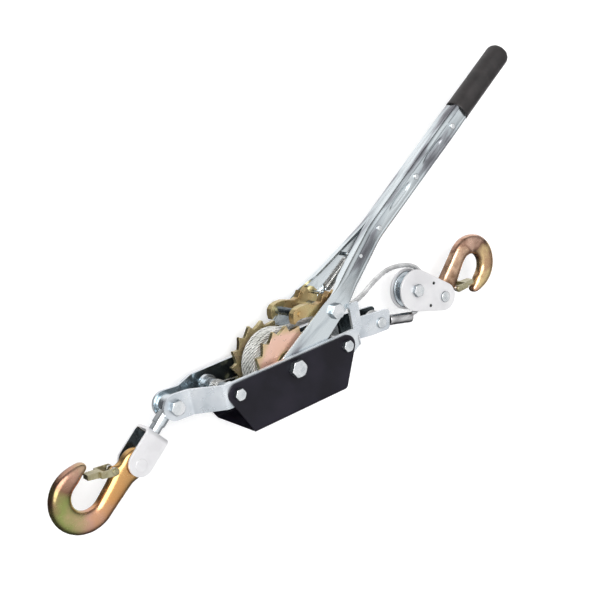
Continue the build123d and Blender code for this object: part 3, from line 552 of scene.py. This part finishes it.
def frame_pieces():
    refine("side_plate_near", PLATE_ZINC, 0.6, 3)
    # The far plate's upper, inner face takes a painted shade and reflection.
    refine("side_plate_far", PLATE_ZINC, 0.6, 3, face_mat=INNER_ZINC, where=inner_face)
    refine("guard", BLACK, 0.7, 3)
    for node in (
        "axle_bolt", "axle_nut", "guard_bolts", "guard_nuts", "front_bolt", "front_nut",
        "anchor_pin", "anchor_pin_clip", "front_spacer_tube", "rear_spacer_tube",
    ):
        bolt(node, 0.35)


# ---------------------------------------------------------------- rope


def rope_pieces():
    line = route_line("rope_route", [at(*place) for place in ROPE_ROUTE])
    bm = bmesh.new()
    add_strands(bm, line)
    mesh = finish_mesh(bm, "rope_span_strands")
    span = piece("rope_span_strands", mesh, "frame", [ROPE, DARK], ("rope_span",))
    eye = rope_eye()
    bolt("rope_thimble")
    ferrule()


def rope_eye():
    """The rope's end, from the ferrule's mouth round the thimble and back."""
    along, across = FERRULE_START[0] - ANCHOR[0], FERRULE_START[1] - ANCHOR[1]
    to_ferrule = atan2(across, along)
    reach = hypot(along, across) - 1.6
    half = ROPE_D / 2 + 0.1
    upper = [(reach, half), (5.5, 10.6), (-6.5, 10.8)]
    places = []
    for x, y in upper + [(-11.6, 0.0)] + [(x, -y) for x, y in reversed(upper)]:
        dx, dy = polar(hypot(x, y), atan2(y, x) + to_ferrule)
        places.append(at(ANCHOR[0] + dx, ANCHOR[1] + dy))
    bm = bmesh.new()
    add_strands(bm, route_line("eye_route", places))
    mesh = finish_mesh(bm, "rope_eye_strands")
    return piece("rope_eye_strands", mesh, "frame", [ROPE, DARK], ("rope_eye",))


def ferrule():
    """Pressed oval sleeve with a lipped mouth at each end."""
    half_width, half_height, sides = 6.9, 5.6, 40
    start, end = at(*FERRULE_START), at(*FERRULE_END)
    along = (end - start).normalized()
    across = UP.cross(along)
    tail = (end - start).length / MM
    # Distance from the front mouth and size against the full oval, from inside one mouth to inside the other.
    profile = [(2.4, 0.60), (2.4, 0.78), (0.3, 0.82), (0.0, 0.86), (0.0, 0.95), (0.7, 1.0)]
    profile += [(6.0, 1.0), (7.0, 0.985), (30.0, 0.985), (31.0, 1.0)]
    profile += [(tail - 1.2, 1.0), (tail - 0.3, 0.96), (tail, 0.88), (tail, 0.72), (tail - 1.6, 0.66)]
    bm = bmesh.new()
    rings = []
    for gone, size in profile:
        centre = start + along * gone * MM
        ring = []
        for k in range(sides):
            turn = 2 * pi * k / sides
            out = across * (half_width * size * MM * cos(turn))
            ring.append(bm.verts.new(centre + out + UP * (half_height * size * MM * sin(turn))))
        rings.append(ring)
    bands = join_rings(bm, rings)
    # The mouths' inner bands and the end faces take the near-black painted shade of the hollow.
    inside = bands[0] + bands[1] + bands[-1] + list(close_ends(bm, rings))
    for face in inside:
        face.material_index = 1
    mesh = finish_mesh(bm, "rope_ferrule_look")
    return piece("rope_ferrule_look", mesh, "frame", [ALUMINIUM, DARK], ("rope_ferrule",))


# ---------------------------------------------------------------- drum


WINDING_STEPS = 64  # points in each turn


def winding(turns, radius, low, high, start_angle):
    """Points of a rope wound evenly on the drum between two heights."""
    count = int(turns * WINDING_STEPS)
    points = []
    for index in range(count + 1):
        part = index / count
        x, y = polar(radius, start_angle - part * turns * 2 * pi)
        points.append(at(x, y, low + (high - low) * part))
    return points


def drum_pieces():
    refine("ratchet_wheel_near", WHEEL_EDGE, 0.35, 2, face_mat=WHEEL_FACE)
    refine("ratchet_wheel_far", WHEEL_EDGE, 0.35, 2, face_mat=WHEEL_OLIVE)
    refine("drum_spool", WHEEL_EDGE, 0.4)
    refine("drum_bush", BRONZE, 0.3)
    lower = winding(5.9, 35.0, -18.4, 18.4, 1.0)
    upper = winding(4.1, 39.6, 13.2, -13.2, 0.4)
    tail = [
        at(*polar(39.2, radians(angle)), height)
        for angle, height in ((140, -3.0), (128, -2.6), (116, -2.0))
    ]
    tail += [at(-9.5, 39.6, -1.2), at(3.0, 39.9, -0.6), at(14.0, 38.4, -0.2), at(25.6, 36.55, 0)]
    bm = bmesh.new()
    for line in (lower, upper, route_line("tail_route", tail)):
        add_strands(bm, line, count=5, pitch=28.0, gap=0.92)
    mesh = finish_mesh(bm, "rope_coil_strands")
    piece("rope_coil_strands", mesh, "drum", [COIL_ROPE, DARK], ("rope_coil",))


# ---------------------------------------------------------------- handle


def lerp_through(value, table):
    """Value read from a table of (place, amount) pairs, straight between them."""
    if value <= table[0][0]:
        return table[0][1]
    for (a, low), (b, high) in zip(table, table[1:]):
        if value <= b:
            return low + (high - low) * (value - a) / (b - a)
    return table[-1][1]


def eased(value, table, window):
    """The same, averaged over a window so that the bends are round."""
    return sum(lerp_through(value + window * k / 6, table) for k in range(-6, 7)) / 13


NOSE_R = 19.0
# Tables of (distance from the axle, amount): half width, height of the outer face, depth of the
# turned-down sides and corner radius.
WIDTHS = [(0, NOSE_R), (60, 17.2), (108, 14.0), (222, 13.3), (400, 14.0), (416, 13.6), (430, 13.4)]
OUTER = [(0, 34.8), (108, 34.8), (208.5, 12.05), (430, 12.0)]
DEPTHS = [(0, 1.2), (96, 1.2), (124, 11.9), (430, 11.9)]
CORNERS = [(0, 0.8), (98, 0.8), (132, 6.0), (396, 6.0), (416, 8.2), (430, 8.2)]
GROOVES = [(242.5, 291.5), (321.5, 369.5)]
GROOVE_V, GROOVE_HALF, GROOVE_DEPTH = 2.0, 3.9, 2.2
GROOVE_RUN_OUT, GROOVE_TAPER = 17.0, 0.21
SHEET = 2.9


def groove_depth(u, v):
    """Depth of the pressed grooves at a place on the handle's face."""
    for low, high in GROOVES:
        beyond = max(low + GROOVE_RUN_OUT - u, u - high + GROOVE_RUN_OUT, 0.0)
        away = hypot(beyond * GROOVE_TAPER, v - GROOVE_V) / GROOVE_HALF
        if away < 1.0:
            return GROOVE_DEPTH * min((1 - away) / 0.55, 1.0)
    return 0.0


def handle_half(side):
    """One of the handle's two pressed sheets: side is 1 for the near one and -1 for the far one.

    u runs along the handle from the axle, v across it and h up from the tool's middle plane.
    """
    bm = bmesh.new()
    rows = []
    nose = [-18.9, -18.0, -16, -13, -9, -4]
    stations = nose + [0.5 + 2.0 * k for k in range(213)]
    for u in stations:
        w = sqrt(NOSE_R**2 - u * u) if u < 0 else lerp_through(u, WIDTHS)
        out = eased(u, OUTER, 9.0)
        depth = eased(u, DEPTHS, 6.0)
        corner = min(eased(u, CORNERS, 5.0), w * 0.45)
        if depth > 3:
            edge = [(-w, out - depth), (-w, out - depth * 0.6 - corner * 0.4)]
        else:
            edge = [(-w, out - max(depth, corner + 0.2)), (-w, out - corner - 0.05)]
        for k in range(7):
            turn = radians(180 - 15 * k)
            edge.append((-w + corner + corner * cos(turn), out - corner + corner * sin(turn)))
        top = []
        flat = 2 * (w - corner)
        crown = min(max((u - 110) / 40, 0.0), 1.0) * 0.9
        for k in range(1, 20):
            v = -w + corner + flat * k / 20
            fall = crown * (v / (w - corner + 0.01)) ** 2
            top.append((v, out - fall - groove_depth(u, v)))
        row = []
        for v, h in edge + top + [(-v, h) for v, h in reversed(edge)]:
            x = u * cos(HANDLE_ANGLE) - v * sin(HANDLE_ANGLE)
            y = u * sin(HANDLE_ANGLE) + v * cos(HANDLE_ANGLE)
            row.append(bm.verts.new(at(x, y, side * h)))
        rows.append(row)
    for low, high in zip(rows, rows[1:]):
        for k in range(len(low) - 1):
            corners = (low[k], high[k], high[k + 1], low[k + 1])
            bm.faces.new(corners[::side]).smooth = True
    name = "handle_half_near" if side > 0 else "handle_half_far"
    mesh = bpy.data.meshes.new(name + "_look")
    bm.to_mesh(mesh)
    bm.free()
    obj = piece(name + "_look", mesh, "handle", [HANDLE_ZINC], (name,))
    sheet = obj.modifiers.new("sheet", "SOLIDIFY")
    sheet.thickness = SHEET * MM
    sheet.offset = -1.0
    sheet.use_even_offset = False
    soften(obj, 0.5, segments=2, angle=55)


def lathe(name, profile):
    """A turned piece on the handle's axis from (distance, radius) pairs."""
    sides = 72
    across = Vector((-sin(HANDLE_ANGLE), cos(HANDLE_ANGLE), 0))
    bm = bmesh.new()
    rings = []
    for gone, radius in profile:
        centre = AXLE + HANDLE_AXIS * gone * MM
        turns = [2 * pi * k / sides for k in range(sides)]
        rings.append([
            bm.verts.new(centre + (across * cos(turn) + UP * sin(turn)) * radius * MM) for turn in turns
        ])
    join_rings(bm, rings)
    close_ends(bm, rings)
    return finish_mesh(bm, name)


def handle_pieces():
    handle_half(1)
    handle_half(-1)
    mouth = [(424, 9.0), (424, 14.2), (417.6, 14.9), (417.0, 15.2), (416.9, 15.7), (417.3, 16.0)]
    lip = [(418.6, 16.15), (421.0, 16.1), (422.2, 15.9)]
    sleeve = [(440, 15.85), (470, 15.75), (500, 15.8), (519, 15.9), (523, 15.7)]
    end = [(526.0, 14.6), (528.4, 12.8), (530.2, 10.2), (531.2, 7.2), (531.6, 3.0)]
    mesh = lathe("handle_grip_look", mouth + lip + sleeve + end)
    piece("handle_grip_look", mesh, "handle", [RUBBER], ("handle_grip",))
    refine("handle_rivets", BOLT_ZINC, 0.1, 1, 35)
    bolt("pawl_bolt")
    bolt("pawl_nut")
    bolt("spring_anchor_pin", 0.3)


# ---------------------------------------------------------------- pawls and springs


def rest_place(x, y):
    """Rest place of a point on the drive pawl that is given in its driving place."""
    dx, dy = x - PAWL_PIVOT[0], y - PAWL_PIVOT[1]
    gone = polar(hypot(dx, dy), atan2(dy, dx) - PAWL_LIFT)
    return PAWL_PIVOT[0] + gone[0], PAWL_PIVOT[1] + gone[1]


def drive_spring():
    """Close-wound extension spring with a loop at each end."""
    wire, radius, pitch, loop_r, loop_room, per_turn = 0.8, 4.8, 1.75, 3.8, 9.0, 18
    low, high = at(*rest_place(*SPRING_PIN)), at(*SPRING_HIGH)
    along = (high - low).normalized()
    across = UP.cross(along)
    points = []

    def loop(end, first, step):
        for k in range(25):
            turn = radians(first + k * step)
            points.append(end + (along * cos(turn) + across * sin(turn)) * loop_r * MM)

    loop(low, 330, -15)
    coil = (high - low).length - 2 * loop_room * MM
    turns = int(coil / (pitch * MM))
    for k in range(turns * per_turn + 1):
        part = k / (turns * per_turn)
        turn = part * turns * 2 * pi
        centre = low + along * (loop_room * MM + coil * part)
        points.append(centre + (across * cos(turn) + UP * sin(turn)) * radius * MM)
    loop(high, 200, 14)
    bm = bmesh.new()
    add_tube(bm, points, wire * MM, 8)
    mesh = finish_mesh(bm, "drive_pawl_spring_wire")
    obj = piece("drive_pawl_spring_wire", mesh, None, [SPRING], ("drive_pawl_spring",))
    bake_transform(obj)


def stop_spring():
    """Torsion spring round the front spacer tube, with a leg on the claws' web and one on the frame."""
    wire, radius, half_length, leg_reach = 0.7, 8.75, 6.3, 24.0
    web_angle, frame_angle = -STOP_DROP - 40, 14
    turns, per_turn = 4.6, 28
    centre = at(*FRONT_BOLT)

    def leg(angle, height):
        out = Vector((*polar(1, radians(angle)), 0))
        return centre + out * leg_reach * MM + UP * height * MM

    points = [leg(web_angle, -half_length)]
    steps = int(turns * per_turn)
    for k in range(steps + 1):
        part = k / steps
        turn = radians(web_angle + 8) - part * turns * 2 * pi
        height = half_length * (2 * part - 1)
        points.append(centre + Vector((*polar(radius * MM, turn), height * MM)))
    points.append(leg(frame_angle, half_length))
    bm = bmesh.new()
    add_tube(bm, points, wire * MM, 8)
    mesh = finish_mesh(bm, "stop_pawl_spring_wire")
    piece("stop_pawl_spring_wire", mesh, "frame", [SPRING], ("stop_pawl_spring",))


def riveted_end(polygon):
    """The ends of the cross pin, outside the claws."""
    return abs(polygon.center.z - AXLE.z) > 18.5 * MM


def pawl_pieces():
    for node in ("drive_claw_near", "drive_claw_far"):
        refine(node, CLAW_GOLD, 0.9, 3)
    refine("pawl_cross_pin", DARK_ZINC, 0.8, 3, face_mat=CLAW_GOLD, where=riveted_end)
    for node in ("stop_claw_near", "stop_claw_far", "stop_pawl_web"):
        refine(node, ZINC, 0.5, 2)
    for node in ("pawl_spring_pin", "pawl_hub_tube", "stop_pawl_hubs"):
        bolt(node, 0.5)
    drive_spring()
    stop_spring()


# ---------------------------------------------------------------- hooks and block


def forged(node, mat, grain=1.5, rounds=190, swell=1.25):
    """A forged piece: the CAD shape remeshed and eased until its edges are fully round.

    The grain is the size of the remeshed faces in mm, and the swell, also in mm, makes up for what
    the easing takes off.
    """
    mesh = nodes[node].data.copy()
    holder = bpy.data.objects.new(node + "_blank", mesh)
    bpy.context.scene.collection.objects.link(holder)
    remesh = holder.modifiers.new("grain", "REMESH")
    remesh.mode = "VOXEL"
    remesh.voxel_size = grain * MM
    remesh.use_smooth_shade = True
    ease = holder.modifiers.new("ease", "SMOOTH")
    ease.factor = 0.5
    ease.iterations = rounds
    grow = holder.modifiers.new("swell", "DISPLACE")
    grow.mid_level = 0.0
    grow.strength = swell * MM
    graph = bpy.context.evaluated_depsgraph_get()
    result = bpy.data.meshes.new_from_object(holder.evaluated_get(graph))
    result.name = node + "_look"
    bpy.data.objects.remove(holder)
    bpy.data.meshes.remove(mesh)
    plain_normals(result)
    for polygon in result.polygons:
        polygon.use_smooth = True
    piece(node + "_look", result, BODY[node], [mat], (node,))


def latch_spring(prefix):
    """Small coil springs on the latch rivet, one each side of the hook's boss."""
    wire, radius, inner_end, length, turns, per_turn = 0.55, 3.6, 4.4, 3.0, 4, 20
    node = prefix + "_latch_spring"
    low, high = (Vector(corner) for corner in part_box(node))
    centre = (low + high) / 2
    bm = bmesh.new()
    for side in (-1, 1):
        points = []
        for k in range(turns * per_turn + 1):
            part = k / (turns * per_turn)
            height = side * (inner_end + length * part)
            points.append(centre + Vector((*polar(radius * MM, part * turns * 2 * pi), height * MM)))
        add_tube(bm, points, wire * MM, 7)
    piece(node + "_wire", finish_mesh(bm, node + "_wire"), BODY[node], [SPRING], (node,))


def hook_pieces():
    for prefix, gold in (("front", FRONT_GOLD), ("rear", REAR_GOLD)):
        forged(prefix + "_hook", gold)
        refine(prefix + "_latch", LATCH, 0.7, 3)
        refine(prefix + "_latch_rivet", LATCH, 0.6, 3)
        latch_spring(prefix)
    refine("hook_link", ZINC, 1.2, 3)
    bolt("swivel_nut", 0.5)
    refine("hook_bracket", CHEEK_ZINC, 0.6, 3, face_mat=DARK_ZINC, where=inner_face)
    refine("bracket_pin", CHEEK_ZINC, 0.8, 3)


def rim_face(polygon):
    """The outer rims of the sheave's flanges."""
    out = polygon.center - at(*SHEAVE)
    return side_face(polygon) and hypot(out.x, out.y) > SHEAVE_R * MM * 0.97


def block_pieces():
    for node in ("block_cheek_near", "block_cheek_far"):
        refine(node, CHEEK_ZINC, 0.12, 1, 35)
    # The sheave's flange rims take the painted shade of the bolt sides.
    refine("sheave", ZINC, 0.5, 3, face_mat=SIDE_PAINTED_SHADE, where=rim_face)
    for node in ("sheave_bolt", "sheave_nut", "block_pin"):
        bolt(node, 0.35)
    refine("cheek_rivets", DARK, 0.3)
    refine("sheave_bush", BRONZE, 0.3)


# ---------------------------------------------------------------- studio


def camera():
    """A long lens above the tool; right and back are the camera's own directions in the frame."""
    right = Vector((0.7813, -0.1914, 0.5941)).normalized()
    back = Vector((-0.537, 0.279, 0.796)).normalized()
    away, shift_right, shift_up = 1.313, 0.0309, 0.0756
    cam = bpy.data.cameras.new("camera")
    cam.sensor_width = 36.0
    cam.lens = 66.0
    cam.clip_end = 60
    obj = bpy.data.objects.new("camera", cam)
    bpy.context.scene.collection.objects.link(obj)
    up = back.cross(right).normalized()
    right = up.cross(back)
    place = AXLE + Vector((-0.003, 0, 0)) + back * away + right * shift_right + up * shift_up
    turn = Matrix((right, up, back)).transposed().to_4x4()
    obj.matrix_world = Matrix.Translation(place) @ turn
    bpy.context.scene.camera = obj


def floor():
    """A pale paper floor that sweeps up into a far round backdrop."""
    bm = bmesh.new()
    sides, floor_bands, gap_below = 64, 2, 0.0006
    level = [(0.002, 0.0), (2.0, 0.0), (8.0, 0.0), (20.0, 0.0)]
    sweep = [(22.0, 0.4), (23.2, 1.4), (23.6, 3.0), (23.6, 7.0)]
    rings = [
        [bm.verts.new((*polar(radius, 2 * pi * k / sides), height)) for k in range(sides)]
        for radius, height in level + sweep
    ]
    bm.faces.new(rings[0]).smooth = True
    for index, (low, high) in enumerate(zip(rings, rings[1:])):
        for k in range(sides):
            after = (k + 1) % sides
            face = bm.faces.new((low[k], high[k], high[after], low[after]))
            face.smooth = True
            face.material_index = int(index >= floor_bands)
    mesh = bpy.data.meshes.new("floor")
    bm.to_mesh(mesh)
    bm.free()
    obj = bpy.data.objects.new("floor", mesh)
    obj.location = (0, 0, -gap_below)
    obj.visible_glossy = False
    bpy.context.scene.collection.objects.link(obj)
    paper = [(0.4, (0.90, 0.90, 0.90)), (0.6, (0.93, 0.93, 0.93))]
    for name, glow in (("floor_paper", 0.22), ("backdrop_paper", 0.75)):
        mesh.materials.append(material(
            name, paper, scale=3, metallic=0.0, rough=0.8, spread=0.05, specular=0.1, glow=glow,
        ))


def soft_sun(name, towards, strength, spread):
    """A sun that stands towards a direction, as wide as spread in degrees."""
    light = bpy.data.lights.new(name, "SUN")
    light.energy = strength
    light.angle = radians(spread)
    obj = bpy.data.objects.new(name, light)
    bpy.context.scene.collection.objects.link(obj)
    obj.rotation_euler = Vector(towards).to_track_quat("Z", "Y").to_euler()


def studio():
    """A sky that brightens upwards, a lower half that brightens to one side, and one wide sun."""
    world = bpy.data.worlds.new("studio")
    bpy.context.scene.world = world
    world.use_nodes = True
    tree = world.node_tree
    background = tree.nodes["Background"]
    coord = tree.nodes.new("ShaderNodeTexCoord")
    parts = tree.nodes.new("ShaderNodeSeparateXYZ")
    tree.links.new(coord.outputs["Generated"], parts.inputs["Vector"])
    height = parts.outputs["Z"]
    sideways = worked(tree, VECTOR_MATH, "DOT_PRODUCT", coord.outputs["Generated"], (0.80, 0.60, 0.0))

    def halved(value):
        """A value from -1 to 1 brought to 0 to 1."""
        return worked(tree, VALUE_MATH, "MULTIPLY_ADD", value, 0.5, 0.5)

    shades = ((0.60, 0.06), (0.70, 0.30), (0.84, 0.62))
    greys = [(place, (shade, shade * 1.01, shade * 1.03)) for place, shade in shades]
    sky = [(0.50, (0.03, 0.035, 0.04))] + greys + [(1.0, (0.84, 0.85, 0.86))]
    ground = [(0.48, (0.02, 0.02, 0.025)), (0.68, (0.92, 0.92, 0.93))]
    pick = tree.nodes.new("ShaderNodeMixRGB")
    tree.links.new(worked(tree, VALUE_MATH, "LESS_THAN", height, 0.0), pick.inputs["Fac"])
    tree.links.new(colour_ramp(tree, halved(height), sky), pick.inputs["Color1"])
    tree.links.new(colour_ramp(tree, halved(sideways), ground), pick.inputs["Color2"])
    tree.links.new(pick.outputs["Color"], background.inputs["Color"])
    background.inputs["Strength"].default_value = 1.0
    soft_sun("key", (-0.45, 0.40, 0.80), strength=2.15, spread=50)
    bpy.context.scene.view_settings.view_transform = "Standard"


frame_pieces()
rope_pieces()
drum_pieces()
handle_pieces()
pawl_pieces()
hook_pieces()
block_pieces()
camera()
floor()
studio()
